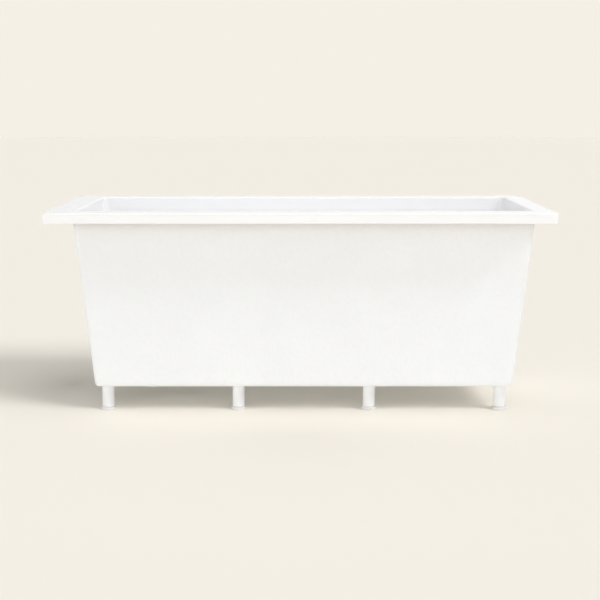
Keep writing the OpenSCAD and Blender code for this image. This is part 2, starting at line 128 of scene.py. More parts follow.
def closed_loft(rings):
    """A solid like a ring-shaped tunnel: every ring joins the next, and the last joins the first."""
    bm = bmesh.new()
    rows = [[bm.verts.new(p) for p in r] for r in rings]
    n = len(rows[0])
    for k, row in enumerate(rows):
        other = rows[(k + 1) % len(rows)]
        for i in range(n):
            j = (i + 1) % n
            bm.faces.new((row[i], row[j], other[j], other[i]))
    return bm


def bridge(bm, rows):
    """Joins each row of verts to the next with quads, all the way round."""
    n = len(rows[0])
    for a, b in zip(rows, rows[1:]):
        for i in range(n):
            j = (i + 1) % n
            bm.faces.new((a[i], a[j], b[j], b[i]))


def lathe(bm, profile, seg=64, matrix=None, closed=False):
    """Turns (radius, height) points about Z; points on the axis become poles."""
    rows = []
    for r, z in profile:
        row = []
        for i in range(1 if r < ON_AXIS else seg):
            a = 2 * math.pi * i / seg
            row.append(bm.verts.new((0, 0, z) if r < ON_AXIS else (r * math.cos(a), r * math.sin(a), z)))
        rows.append(row)
    pairs = list(zip(rows, rows[1:]))
    if closed:
        pairs.append((rows[-1], rows[0]))
    for a, b in pairs:
        for i in range(seg):
            j = (i + 1) % seg
            if len(a) == 1 and len(b) == 1:
                continue
            if len(a) == 1:
                bm.faces.new((a[0], b[j], b[i]))
            elif len(b) == 1:
                bm.faces.new((a[i], a[j], b[0]))
            else:
                bm.faces.new((a[i], a[j], b[j], b[i]))
    if matrix is not None:
        made = [v for row in rows for v in row]
        bmesh.ops.transform(bm, matrix=matrix, verts=made)


def arc(cx, cz, r, a0, a1, n):
    """Points of an arc in the (radius, height) plane."""
    out = []
    for k in range(n + 1):
        a = math.radians(a0 + (a1 - a0) * k / n)
        out.append((cx + r * math.cos(a), cz + r * math.sin(a)))
    return out


def finish_mesh(name, bm, material, sharp=35.0):
    """Cleans the mesh up, shades it smooth between sharp edges, and links it as an object."""
    bmesh.ops.remove_doubles(bm, verts=bm.verts, dist=2e-6)
    bmesh.ops.recalc_face_normals(bm, faces=bm.faces)
    limit = math.radians(sharp)
    for f in bm.faces:
        f.smooth = True
    for e in bm.edges:
        e.smooth = not (len(e.link_faces) == 2 and e.calc_face_angle(0.0) > limit)
    mesh = bpy.data.meshes.new(name)
    bm.to_mesh(mesh)
    bm.free()
    mesh.materials.append(material)
    obj = bpy.data.objects.new(name, mesh)
    scene.collection.objects.link(obj)
    return obj


def weighted(obj):
    mod = obj.modifiers.new("weighted", "WEIGHTED_NORMAL")
    mod.mode = "FACE_AREA"
    mod.keep_sharp = True
    return obj


def place(obj, body, slot, *replaced):
    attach(obj, body)
    if replaced:
        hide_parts(*replaced)
    return obj


# ---------- materials ----------


class Nodes:
    """Short calls for building one material's node tree."""

    def __init__(self, name):
        self.mat = bpy.data.materials.new(name)
        self.mat.use_nodes = True
        self.tree = self.mat.node_tree
        self.bsdf = self.tree.nodes["Principled BSDF"]
        self.object = self.tree.nodes.new("ShaderNodeTexCoord").outputs["Object"]

    def new(self, kind, **values):
        node = self.tree.nodes.new(kind)
        for key, value in values.items():
            setattr(node, key, value)
        return node

    def link(self, a, b):
        self.tree.links.new(a, b)

    def mapped(self, rotation=(0, 0, 0), scale=(1, 1, 1), vector=None):
        node = self.new("ShaderNodeMapping")
        node.inputs["Rotation"].default_value = [math.radians(v) for v in rotation]
        node.inputs["Scale"].default_value = scale
        self.link(vector or self.object, node.inputs["Vector"])
        return node.outputs["Vector"]

    def noise(self, scale, detail=3.0, rough=0.5, vector=None, distortion=0.0):
        node = self.new("ShaderNodeTexNoise")
        node.inputs["Scale"].default_value = scale
        node.inputs["Detail"].default_value = detail
        node.inputs["Roughness"].default_value = rough
        node.inputs["Distortion"].default_value = distortion
        self.link(vector or self.object, node.inputs["Vector"])
        return node

    def voronoi(self, scale, feature="F1", vector=None, smooth=None):
        node = self.new("ShaderNodeTexVoronoi", feature=feature)
        node.inputs["Scale"].default_value = scale
        if smooth is not None:
            node.inputs["Smoothness"].default_value = smooth
        self.link(vector or self.object, node.inputs["Vector"])
        return node

    def wave(self, scale, axis, distortion=0.0, vector=None):
        node = self.new("ShaderNodeTexWave", bands_direction=axis)
        node.inputs["Scale"].default_value = scale
        node.inputs["Distortion"].default_value = distortion
        self.link(vector or self.object, node.inputs["Vector"])
        return node

    def ramp(self, fac, stops):
        node = self.new("ShaderNodeValToRGB")
        ramp = node.color_ramp
        while len(ramp.elements) < len(stops):
            ramp.elements.new(0.5)
        for element, (pos, colour) in zip(ramp.elements, stops):
            element.position = pos
            element.color = (*colour, 1) if len(colour) == 3 else colour
        self.link(fac, node.inputs["Fac"])
        return node.outputs["Color"]

    def range(self, value, low, high, from_low=0.0, from_high=1.0):
        node = self.new("ShaderNodeMapRange")
        node.inputs["From Min"].default_value = from_low
        node.inputs["From Max"].default_value = from_high
        node.inputs["To Min"].default_value = low
        node.inputs["To Max"].default_value = high
        self.link(value, node.inputs["Value"])
        return node.outputs["Result"]

    def math(self, operation, a, b):
        node = self.new("ShaderNodeMath", operation=operation)
        for socket, value in zip(node.inputs, (a, b)):
            if isinstance(value, (int, float)):
                socket.default_value = value
            else:
                self.link(value, socket)
        return node.outputs["Value"]

    def mix(self, fac, a, b, blend="MIX"):
        node = self.new("ShaderNodeMix", data_type="RGBA", blend_type=blend)
        for socket, value in ((node.inputs[0], fac), (node.inputs[6], a), (node.inputs[7], b)):
            if isinstance(value, (int, float)):
                socket.default_value = value
            elif isinstance(value, tuple):
                socket.default_value = (*value, 1)
            else:
                self.link(value, socket)
        return node.outputs[2]

    def bumps(self, *layers):
        """Stacks (height, strength, distance) layers and sends the normal to the shader."""
        normal = None
        for height, strength, distance in layers:
            node = self.new("ShaderNodeBump")
            node.inputs["Strength"].default_value = strength
            node.inputs["Distance"].default_value = distance
            self.link(height, node.inputs["Height"])
            if normal is not None:
                self.link(normal, node.inputs["Normal"])
            normal = node.outputs["Normal"]
        self.link(normal, self.bsdf.inputs["Normal"])

    def colour(self, socket):
        self.link(socket, self.bsdf.inputs["Base Color"])

    def rough(self, socket):
        self.link(socket, self.bsdf.inputs["Roughness"])

    def set(self, **values):
        names = {
            "metallic": "Metallic",
            "roughness": "Roughness",
            "specular": "Specular IOR Level",
            "ior": "IOR",
            "coat": "Coat Weight",
            "coat_rough": "Coat Roughness",
        }
        for key, value in values.items():
            self.bsdf.inputs[names[key]].default_value = value


def acrylic_material():
    """Cast acrylic: glossy white with a faint drift of tone, a slight haze and a trace of waviness."""
    m = Nodes("acrylic")
    m.set(coat=0.25, coat_rough=0.06, ior=1.49)
    tone = m.noise(3.5, 2.0)
    m.colour(m.ramp(tone.outputs["Fac"], [(0.3, (0.910, 0.914, 0.919)), (0.7, (0.924, 0.928, 0.933))]))
    haze = m.noise(60.0, 4.0, 0.6)
    m.rough(m.range(haze.outputs["Fac"], 0.15, 0.21, 0.3, 0.7))
    m.bumps(
        (m.noise(9.0, 1.0).outputs["Fac"], 0.10, 0.0006),
        (m.noise(220.0, 2.0).outputs["Fac"], 0.05, 0.0001),
    )
    return m.mat


def laminate_material():
    """Sprayed and rolled fibreglass: an orange-peel skin of soft slanting bumps with fine strands in it."""
    m = Nodes("fibreglass")
    m.set(ior=1.5, coat=0.12, coat_rough=0.25)
    warp = m.noise(70.0, 2.0)
    shift = m.new("ShaderNodeVectorMath", operation="SCALE")
    shift.inputs["Scale"].default_value = 0.010
    m.link(warp.outputs["Color"], shift.inputs[0])
    moved = m.new("ShaderNodeVectorMath", operation="ADD")
    m.link(m.object, moved.inputs[0])
    m.link(shift.outputs["Vector"], moved.inputs[1])
    slanted = m.mapped((0, 38, 0), (1.0, 1.0, 0.55), moved.outputs["Vector"])
    cells = m.voronoi(150.0, "SMOOTH_F1", slanted, 0.7)
    peel = m.noise(300.0, 3.0, 0.6)
    roll = m.noise(14.0, 3.0, 0.5)
    along = m.mapped((0, -30, 0), (1.0, 1.0, 0.16), moved.outputs["Vector"])
    strand = m.voronoi(260.0, "DISTANCE_TO_EDGE", along)
    patch = m.noise(7.0, 4.0, 0.6)
    base = m.ramp(patch.outputs["Fac"], [(0.30, (0.880, 0.897, 0.921)), (0.70, (0.900, 0.917, 0.941))])
    pit = m.range(cells.outputs["Distance"], 1.0, 0.975, 0.25, 0.75)
    tint = m.new("ShaderNodeCombineColor")
    for socket in tint.inputs[:3]:
        m.link(pit, socket)
    m.colour(m.mix(0.6, base, tint.outputs["Color"], "MULTIPLY"))
    m.rough(m.range(peel.outputs["Fac"], 0.38, 0.58, 0.3, 0.7))
    m.bumps(
        (roll.outputs["Fac"], 0.06, 0.0006),
        (cells.outputs["Distance"], 0.39, 0.0011),
        (m.range(strand.outputs["Distance"], 0.0, 1.0, 0.0, 0.12), 0.08, 0.0002),
        (peel.outputs["Fac"], 0.20, 0.0003),
    )
    return m.mat


def board_material():
    """Chipboard: flat chips in several browns, fine fibres, and a rough pressed surface."""
    m = Nodes("board")
    m.set(ior=1.45)
    chips = m.voronoi(190.0, "F1", m.mapped((0, 0, 24), (1.0, 0.45, 1.6)))
    fibres = m.noise(420.0, 5.0, 0.65, m.mapped((0, 0, 12), (0.35, 1.0, 1.0)))
    browns = [(0.15, (0.40, 0.27, 0.15)), (0.5, (0.56, 0.41, 0.25)), (0.85, (0.68, 0.53, 0.35))]
    tone = m.ramp(chips.outputs["Color"], browns)
    m.colour(m.mix(m.range(fibres.outputs["Fac"], 0.0, 0.55), tone, (0.33, 0.22, 0.12)))
    m.rough(m.range(fibres.outputs["Fac"], 0.70, 0.92))
    m.bumps((chips.outputs["Distance"], 0.35, 0.0006), (fibres.outputs["Fac"], 0.45, 0.0003))
    return m.mat


def moulded_plastic(name, light, dark, rough_low, rough_high, grain, coat=0.0):
    """Moulded plastic: slight tone drift, satin grain and fine scuffs."""
    m = Nodes(name)
    m.set(ior=1.5, coat=coat, coat_rough=0.15)
    drift = m.noise(35.0, 3.0)
    m.colour(m.ramp(drift.outputs["Fac"], [(0.3, dark), (0.7, light)]))
    fine = m.noise(grain, 3.0, 0.6)
    scuff = m.noise(160.0, 5.0, 0.7, m.mapped((20, 0, 35), (1.0, 0.12, 1.0)))
    worn = m.math("ADD", fine.outputs["Fac"], m.math("MULTIPLY", scuff.outputs["Fac"], 0.6))
    m.rough(m.range(worn, rough_low, rough_high, 0.5, 1.1))
    m.bumps((fine.outputs["Fac"], 0.18, 0.00012), (scuff.outputs["Fac"], 0.08, 0.0001))
    return m.mat


def steel_material():
    """Zinc-plated steel: spangled grey with a faint warm and blue cast and fine drawing marks."""
    m = Nodes("steel")
    m.set(metallic=1.0)
    cast = m.noise(90.0, 4.0, 0.6)
    spangle = m.voronoi(700.0, "F1")
    greys = [(0.25, (0.55, 0.56, 0.60)), (0.55, (0.68, 0.68, 0.67)), (0.8, (0.70, 0.67, 0.58))]
    tone = m.ramp(cast.outputs["Fac"], greys)
    m.colour(m.mix(m.range(spangle.outputs["Distance"], 0.0, 0.25, 0.1, 0.6), tone, (0.50, 0.50, 0.50)))
    marks = m.noise(900.0, 2.0, 0.5, m.mapped((0, 0, 0), (1.0, 1.0, 0.05)))
    m.rough(m.range(marks.outputs["Fac"], 0.26, 0.42))
    m.bumps((marks.outputs["Fac"], 0.10, 0.00008))
    return m.mat


def chrome_material():
    """Polished plating: near-mirror with wiped smears and a trace of casting unevenness."""
    m = Nodes("chrome")
    m.set(metallic=1.0)
    smear = m.noise(48.0, 5.0, 0.7, m.mapped((30, 20, 50), (1.0, 0.25, 1.0)))
    m.colour(m.ramp(smear.outputs["Fac"], [(0.3, (0.80, 0.805, 0.82)), (0.7, (0.86, 0.862, 0.868))]))
    m.rough(m.range(smear.outputs["Fac"], 0.035, 0.13, 0.3, 0.75))
    m.bumps((m.noise(70.0, 2.0).outputs["Fac"], 0.04, 0.0002))
    return m.mat


def rubber_material():
    """Black rubber with a grey bloom and a fine grain."""
    m = Nodes("rubber")
    m.set(ior=1.5)
    bloom = m.noise(120.0, 5.0, 0.65)
    m.colour(m.ramp(bloom.outputs["Fac"], [(0.3, (0.030, 0.030, 0.031)), (0.75, (0.075, 0.075, 0.074))]))
    grain = m.noise(1400.0, 2.0)
    m.rough(m.range(grain.outputs["Fac"], 0.62, 0.82))
    m.bumps((grain.outputs["Fac"], 0.25, 0.0001))
    return m.mat


def brass_material():
    """Turned brass with fine tool rings and slightly dulled patches."""
    m = Nodes("brass")
    m.set(metallic=1.0)
    dull = m.noise(130.0, 4.0, 0.6)
    m.colour(m.ramp(dull.outputs["Fac"], [(0.3, (0.56, 0.41, 0.18)), (0.7, (0.78, 0.62, 0.32))]))
    rings = m.wave(900.0, "Z", 0.4)
    m.rough(m.range(dull.outputs["Fac"], 0.40, 0.22))
    m.bumps((rings.outputs["Fac"], 0.06, 0.00006))
    return m.mat


# name: light tone, dark tone, lowest and highest roughness, grain scale, coat
plastics = {
    "leg_plastic": ((0.880, 0.892, 0.908), (0.850, 0.862, 0.878), 0.26, 0.40, 500.0, 0.1),
    "foot_plastic": ((0.775, 0.780, 0.786), (0.735, 0.740, 0.746), 0.38, 0.55, 900.0),
    "waste_plastic": ((0.80, 0.80, 0.78), (0.74, 0.74, 0.72), 0.36, 0.54, 800.0),
    "hose_plastic": ((0.72, 0.72, 0.71), (0.64, 0.64, 0.63), 0.40, 0.58, 700.0),
    "cable_jacket": ((0.035, 0.035, 0.036), (0.020, 0.020, 0.021), 0.32, 0.50, 1200.0),
}
materials = {
    "acrylic": acrylic_material(),
    "fibreglass": laminate_material(),
    "board": board_material(),
    **{name: moulded_plastic(name, *values) for name, values in plastics.items()},
    "steel": steel_material(),
    "chrome": chrome_material(),
    "rubber": rubber_material(),
    "brass": brass_material(),
}

# Every CAD node takes its slot's finish; the ones that stay also get softened edges
slot_of = {row["node"]: row["material_slot"] for row in frame["record"]["subparts"]}
for name, obj in nodes.items():
    obj.data.materials.clear()
    obj.data.materials.append(materials[slot_of[name]])

# ---------- acrylic shell ----------


def basin_wall(t, arc_n, nx, ny, wall_steps, fillet_steps):
    """Rings of the basin's surface moved outwards by t, from under the ledge down to the floor's edge."""
    r = FILLET + t
    zc = FLOOR_Z + FILLET
    z_low = zc - r * DRAFT_SIN
    z_high = TOP - max(t, HALF_TURN * EDGE_R * DRAFT_COS)
    out = []

    def add(inset, z, corner):
        tilt = FALL * max(0.0, 1 - (z + t - FLOOR_Z) / FADE)
        out.append(ring(BASIN_X + t - inset, BASIN_Y + t - inset, corner, z, arc_n, nx, ny, tilt=tilt))

    for k in range(wall_steps + 1):
        z = z_high + (z_low - z_high) * k / wall_steps
        corner = CORNER_LOW + (CORNER_TOP - CORNER_LOW) * (z - FLOOR_Z) / (TOP - FLOOR_Z) + t
        add(DRAFT * (TOP - z), z, corner)
    i_low = DRAFT * (TOP - z_low)
    corner_low = CORNER_LOW + (CORNER_TOP - CORNER_LOW) * (z_low - FLOOR_Z) / (TOP - FLOOR_Z) + t
    for k in range(1, fillet_steps + 1):
        a = math.radians(LEAN + (90 - LEAN) * k / fillet_steps)
        inward = r * (DRAFT_COS - math.cos(a))
        add(i_low + inward, zc - r * math.sin(a), max(corner_low - inward, 0.006))
    return out


def shell_mesh():
    """The acrylic as one closed skin: lip, ledge, basin, drain hole and back up the hidden side."""
    size = (14, 24, 10)
    rings = []

    def lip(inset, z, corner):
        rings.append(ring(RIM_X - inset, RIM_Y - inset, corner, z, *size, cx=0, cy=0))

    low = TOP - LIP
    corner, foot_r, brow_r = 0.004, 0.001, 0.0028
    for k in range(4):
        a = math.radians(30 * k)
        inset = foot_r * (1 - math.sin(a))
        lip(inset, low + foot_r * (1 - math.cos(a)), corner - inset)
    for k in range(9):
        a = math.radians(90 * k / 8)
        inset = brow_r * (1 - math.cos(a))
        lip(inset, TOP - brow_r * (1 - math.sin(a)), corner - inset)
    lip(0.0045, TOP, 0.001)
    start = HALF_TURN * EDGE_R
    rings.append(ring(BASIN_X + start + 0.002, BASIN_Y + start + 0.002, CORNER_TOP + start, TOP, *size))
    for k in range(9):
        a = math.radians((90 - LEAN) * k / 8)
        inset = -start + EDGE_R * math.sin(a)
        z = TOP - EDGE_R * (1 - math.cos(a))
        rings.append(ring(BASIN_X - inset, BASIN_Y - inset, CORNER_TOP - inset, z, *size))
    rings += basin_wall(0.0, *size, 16, 14)[1:]
    edge = rings[-1]
    sump = circle_like(edge, 0.0480, FLOOR_Z)
    for k in (0.04, 0.3, 0.6, 0.85):
        rings.append(between(edge, sump, k))
    dish = [(0.0480, 0.0), (0.0470, 0.0001), (0.0455, 0.0006)]
    dish += [(0.0440, 0.0012), (0.0425, 0.0015), (0.0410, 0.0015)]
    for r, drop in dish:
        rings.append(circle_like(edge, r, FLOOR_Z - drop))
    rings.append(circle_like(edge, DRAIN_HOLE_R, SUMP_Z))
    rings.append(circle_like(edge, DRAIN_HOLE_R, SUMP_Z - SHEET))
    rings.append(circle_like(edge, 0.0490, SUMP_Z - SHEET))
    under = basin_wall(SHEET, *size, 6, 8)
    rings.append(circle_like(edge, 0.0500, FLOOR_Z - SHEET))
    rings.append(between(under[-1], rings[-1], 0.4))
    rings += under[::-1]
    lip(SHEET, TOP - SHEET, 0.0012)
    lip(SHEET, low + 0.0006, 0.0012)
    lip(SHEET - 0.0006, low, 0.0014)
    return closed_loft(rings)


def cut_overflow_hole(obj):
    """Cuts the overflow's hole through obj's left wall and keeps the result as its mesh."""
    bm = bmesh.new()
    r, reach = OVERFLOW_HOLE_R, 0.03
    lathe(bm, [(0, -reach), (r, -reach), (r, reach), (0, reach)], 96, overflow_frame)
    bmesh.ops.recalc_face_normals(bm, faces=bm.faces)
    mesh = bpy.data.meshes.new("cutter")
    bm.to_mesh(mesh)
    bm.free()
    cutter = bpy.data.objects.new("cutter", mesh)
    scene.collection.objects.link(cutter)
    mod = obj.modifiers.new("hole", "BOOLEAN")
    mod.operation = "DIFFERENCE"
    mod.solver = "EXACT"
    mod.object = cutter
    bpy.context.view_layer.update()
    evaluated = obj.evaluated_get(bpy.context.evaluated_depsgraph_get())
    made = bpy.data.meshes.new_from_object(evaluated)
    obj.modifiers.remove(mod)
    old, obj.data = obj.data, made
    bpy.data.meshes.remove(old)
    bpy.data.objects.remove(cutter)
    bpy.data.meshes.remove(mesh)
    made.name = obj.name


shell = finish_mesh("acrylic_shell_smooth", shell_mesh(), materials["acrylic"], 50)
cut_overflow_hole(shell)
place(weighted(shell), "tub", "acrylic", "acrylic_shell")

# ---------- fibreglass backing ----------


def roll_marks(p):
    """How far the hand-rolled laminate dips below the nominal wall at a point."""
    broad = noise.noise(Vector((p.x * 7.0, p.y * 7.0, p.z * 9.0)))
    middle = noise.noise(Vector((p.x * 27.0 + 5.0, p.y * 27.0, p.z * 34.0)))
    return -0.0003 + 0.00012 * broad + 0.00008 * middle


def backing_mesh():
    """The laminate as one closed skin outside the acrylic, its outer walls displaced by the roll marks."""
    size = (8, 110, 52)
    gap = 0.00005
    corner = 0.015
    rings = []
    kind = []

    def lip(inset, z, corner):
        rings.append(ring(RIM_X - inset, RIM_Y - inset, corner, z, *size, cx=0, cy=0))
        kind.append(0)

    def body(inset, z, r, rough=1):
        rings.append(ring(BODY_X - inset, BODY_Y - inset, r, z, *size))
        kind.append(rough)

    low = TOP - LIP + 0.0005
    inner = SHEET + 0.003
    under = TOP - inner
    lip(SHEET + gap, low + 0.0004, 0.0012)
    lip(SHEET + 0.0006, low, 0.0012)
    lip(inner - 0.0008, low, 0.0015)
    lip(inner, low + 0.0008, 0.0015)
    groove_r = 0.004
    for k in range(5):
        a = math.radians(90 * k / 4)
        lip(inner + groove_r * (1 - math.cos(a)), under - groove_r * (1 - math.sin(a)), 0.002)
    neck_r = 0.009
    start = neck_r * HALF_TURN
    for k in range(7):
        a = math.radians((90 - LEAN) * k / 6)
        inset = DRAFT * inner - start + neck_r * math.sin(a)
        body(inset, under - neck_r * (1 - math.cos(a)), corner, 0 if k < 2 else 1)
    z_high = under - start * DRAFT_COS
    r = 0.014
    zc = BODY_Z + r
    z_low = zc - r * DRAFT_SIN
    steps = 46
    for k in range(1, steps + 1):
        z = z_high + (z_low - z_high) * k / steps
        body(DRAFT * (TOP - z), z, corner)
    i_low = DRAFT * (TOP - z_low)
    for k in range(1, 8):
        a = math.radians(LEAN + (90 - LEAN) * k / 7)
        inward = r * (DRAFT_COS - math.cos(a))
        body(i_low + inward, zc - r * math.sin(a), max(corner - inward, 0.0012), 1 if k < 4 else 0)
    edge = rings[-1]
    pocket = circle_like(edge, 0.0535, BODY_Z)
    for k in (0.05, 0.3, 0.6, 0.85, 1.0):
        rings.append(between(edge, pocket, k))
        kind.append(0)
    drain_well = [
        (0.0520, BODY_Z + 0.0015),
        (0.0520, BODY_Z + 0.0130),
        (0.0505, BODY_Z + 0.0145),
        (0.0256, BODY_Z + 0.0145),
        (0.0256, SUMP_Z - SHEET - gap),
        (0.0490, SUMP_Z - SHEET - gap),
        (0.0502, FLOOR_Z - SHEET - gap),
    ]
    for radius, z in drain_well:
        rings.append(circle_like(edge, radius, z))
        kind.append(0)
    inside = basin_wall(SHEET + gap, *size, 6, 8)
    rings.append(between(inside[-1], rings[-1], 0.4))
    rings.extend(inside[::-1])
    kind.extend([0] * (len(inside) + 1))
    lip(SHEET + gap, TOP - SHEET - gap, 0.0012)
    bm = closed_loft(rings)
    bmesh.ops.recalc_face_normals(bm, faces=bm.faces)
    bm.normal_update()
    bm.verts.ensure_lookup_table()
    n = len(rings[0])
    marks = []
    for k, rough in enumerate(kind):
        if rough:
            for i in range(n):
                v = bm.verts[k * n + i]
                marks.append((v, v.normal.copy() * roll_marks(v.co)))
    for v, move in marks:
        v.co += move
    return bm


backing = finish_mesh("fibreglass_backing_rolled", backing_mesh(), materials["fibreglass"], 50)
cut_overflow_hole(backing)
place(weighted(backing), "tub", "fibreglass", "fibreglass_backing")

# ---------- legs ----------

tube_low, tube_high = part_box("leg_tube_1")
cap_low, cap_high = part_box("foot_cap_1")
LEG_R = (tube_high.x - tube_low.x) / 2
FOOT_R = (cap_high.x - cap_low.x) / 2
FOOT_H = cap_high.z
LEG_Z = tube_low.z
LEG_WALL = 0.0025
PITCH = 0.0015  # of the stud's thread


def centre_of(node):
    low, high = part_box(node)
    return Vector(((low.x + high.x) / 2, (low.y + high.y) / 2, 0))


def tube_mesh():
    """Leg tube with eased ends."""
    bm = bmesh.new()
    o, i = LEG_R, LEG_R - LEG_WALL
    profile = [(i, LEG_Z + 0.0004), (i + 0.0004, LEG_Z)]
    profile += arc(o - 0.0008, LEG_Z + 0.0008, 0.0008, -90, 0, 3)
    profile += [(o, LEG_Z + 0.003), (o, 0.5 * (LEG_Z + BODY_Z)), (o, BODY_Z - 0.002)]
    profile += arc(o - 0.0006, BODY_Z - 0.0006, 0.0006, 0, 90, 3)
    profile += [(i, BODY_Z)]
    lathe(bm, profile, 72, closed=True)
    return bm


def cap_mesh():
    """Round foot: rounded rim, a moulded groove underneath and the stud's socket on top."""
    bm = bmesh.new()
    r, h = FOOT_R, FOOT_H
    profile = [(0, 0.0010), (0.0070, 0.0010), (0.0080, 0.0)]
    profile += [(0.0128, 0.0), (0.0132, 0.0005), (0.0146, 0.0005), (0.0150, 0.0)]
    profile += arc(r - 0.0028, 0.0028, 0.0028, -90, 0, 8)
    profile += arc(r - 0.0030, h - 0.0030, 0.0030, 0, 90, 8)
    profile += [(0.0100, h), (0.0096, h - 0.0004), (0.0066, h - 0.0004), (0.0053, h - 0.0012)]
    profile += [(0.0053, 0.0063), (0.0083, 0.0063), (0.0083, 0.0027), (0, 0.0027)]
    lathe(bm, profile, 72)
    return bm


def stud_mesh():
    """Levelling stud: turned base, cut thread and a chamfered hexagonal collar."""
    bm = bmesh.new()
    base = [(0, 0.0030), (0.0074, 0.0030), (0.0080, 0.0036)]
    base += [(0.0080, 0.0054), (0.0074, 0.0060), (0.0040, 0.0060)]
    lathe(bm, base, 48)
    major, minor = 0.0050, 0.00435
    seg, step = 24, PITCH / 6
    z0, z1 = 0.0058, 0.0465
    rows = []
    count = int((z1 - z0) / step)
    for k in range(count + 1):
        z = z0 + k * step
        fade = min(1.0, (z1 - z) / PITCH)
        row = []
        for i in range(seg):
            phase = (z / PITCH - i / seg) % 1.0
            crest = max(0.0, min(1.0, 1.6 * (1 - abs(2 * phase - 1)) - 0.3))
            r = minor + (major - minor) * crest * fade
            a = 2 * math.pi * i / seg
            row.append(bm.verts.new((r * math.cos(a), r * math.sin(a), z)))
        rows.append(row)
    bridge(bm, rows)
    tip = [bm.verts.new((v.co.x * 0.86, v.co.y * 0.86, 0.0475)) for v in rows[-1]]
    for i in range(seg):
        bm.faces.new((rows[-1][i], rows[-1][(i + 1) % seg], tip[(i + 1) % seg], tip[i]))
    bm.faces.new(tip)

    half = 0.0085
    corner = half / math.cos(math.radians(30))
    low, high = LEG_Z + 0.0001, LEG_Z + 0.0051
    collar = []
    for z, inset in ((low, 0.0009), (low + 0.0006, 0.0), (high - 0.0006, 0.0), (high, 0.0009)):
        row = []
        for i in range(36):
            a = math.radians(10 * i)
            radius = half / math.cos((a % math.radians(60)) - math.radians(30))
            if inset:
                radius = min(corner - inset * 1.4, radius)
            turned = a + math.radians(30)
            row.append(bm.verts.new((radius * math.cos(turned), radius * math.sin(turned), z)))
        collar.append(row)
    bridge(bm, collar)
    bm.faces.new(collar[0])
    bm.faces.new(collar[-1])
    return bm


def copies(first, name, spots, body, slot, cad):
    """Objects that share first's mesh, one at each spot, each on its own body."""
    for k, spot in enumerate(spots, 1):
        obj = first if k == 1 else bpy.data.objects.new(f"{name}_{k}", first.data)
        if k > 1:
            scene.collection.objects.link(obj)
        obj.name = f"{name}_{k}"
        obj.location = spot
        bpy.context.view_layer.update()
        place(obj, body.format(k), slot, f"{cad}_{k}")


legs = [centre_of(f"leg_tube_{k}") for k in range(1, 9)]
for name, bm, sharp, body, slot, cad in (
    ("leg", tube_mesh(), 60, "tub", "leg_plastic", "leg_tube"),
    ("foot", cap_mesh(), 50, "foot_{}", "foot_plastic", "foot_cap"),
    ("stud", stud_mesh(), 40, "stud_{}", "steel", "foot_stud"),
):
    copies(finish_mesh(name, bm, materials[slot], sharp), name, legs, body, slot, cad)

# ---------- waste ----------


cap_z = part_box("stopper_seal")[1].z
dome_r, crown = 0.0300, 0.1612
dome = []
for k in range(15):
    r = dome_r * (1 - k / 14)
    dome.append((r, cap_z - 0.155 + math.sqrt(crown ** 2 - r ** 2)))
stopper_profile = [(0, cap_z + 0.0020), (0.0030, cap_z + 0.0020), (0.0030, cap_z - 0.0055)]
stopper_profile += [(0.0034, cap_z - 0.0060), (0.0074, cap_z - 0.0060), (0.0080, cap_z - 0.0054)]
stopper_profile += [(0.0080, cap_z), (0.0302, cap_z)]
stopper_profile += arc(0.0302, cap_z + 0.0008, 0.0008, -90, 0, 3)[1:]
stopper_profile += arc(0.0300, cap_z + 0.0023, 0.0010, 0, 70, 3)
bm = bmesh.new()
lathe(bm, stopper_profile + dome[1:], 96, Matrix.Translation((DRAIN_X, DRAIN_Y, 0)))
place(finish_mesh("stopper_dome", bm, materials["chrome"], 40), "stopper", "chrome", "stopper_cap")

# ---------- overflow ----------


def knob_mesh():
    """Round dial with a rolled skirt and a grip bar with softened edges across its face."""
    bm = bmesh.new()
    skirt = [(0.0040, 0.0140), (0.0040, 0.0060), (0.0080, 0.0060), (0.0080, 0.0140)]
    skirt += [(0.0296, 0.0140), (0.0300, 0.0136), (0.0300, 0.0084)]
    skirt += [(0.0304, 0.0080)] + arc(0.0318, 0.0092, 0.0012, -90, 0, 4)
    skirt += [(0.0330, 0.0152)] + arc(0.0316, 0.0160, 0.0014, 10, 70, 4)
    skirt += arc(0.0280, 0.0165, 0.0025, 40, 90, 5)
    skirt += [(0.0200, 0.0192), (0.0, 0.0195)]
    lathe(bm, skirt, 96)
    rows = []
    grip = [(0.0182, 0.0), (0.0225, 0.0), (0.0242, -0.0004)]
    grip += [(0.0253, -0.0013), (0.0259, -0.0025), (0.0260, -0.0040)]
    seg = 64
    for z, grow in grip:
        row = []
        hx, hy = 0.0265 + grow, 0.0048 + grow * 0.75
        for i in range(seg):
            a = 2 * math.pi * i / seg
            c, s = math.cos(a), math.sin(a)
            x, y = hx * math.copysign(abs(c) ** 0.35, c), hy * math.copysign(abs(s) ** 0.75, s)
            row.append(bm.verts.new((x, y, z)))
        rows.append(row)
    bridge(bm, rows)
    bm.faces.new(rows[0])
    bm.faces.new(rows[-1])
    bmesh.ops.transform(bm, matrix=overflow_frame, verts=bm.verts)
    return bm


place(finish_mesh("overflow_dial", knob_mesh(), materials["chrome"], 40), "knob", "chrome", "overflow_knob")

# ---------- hose and cable ----------

HOSE_OFF = WALL * DRAFT_COS + 0.021
INLET_Z = 0.050
BEND = 0.055
HOSE_R, RIB, RIB_GAP = 0.0142, 0.00075, 0.005
CABLE_R, CABLE_Y = 0.0025, CY - 0.026


def off_wall(x, z):
    """X and Z of a point x down the end wall and z into the basin."""
    p = overflow_frame @ Vector((x, 0, z))
    return Vector((p.x, p.z))


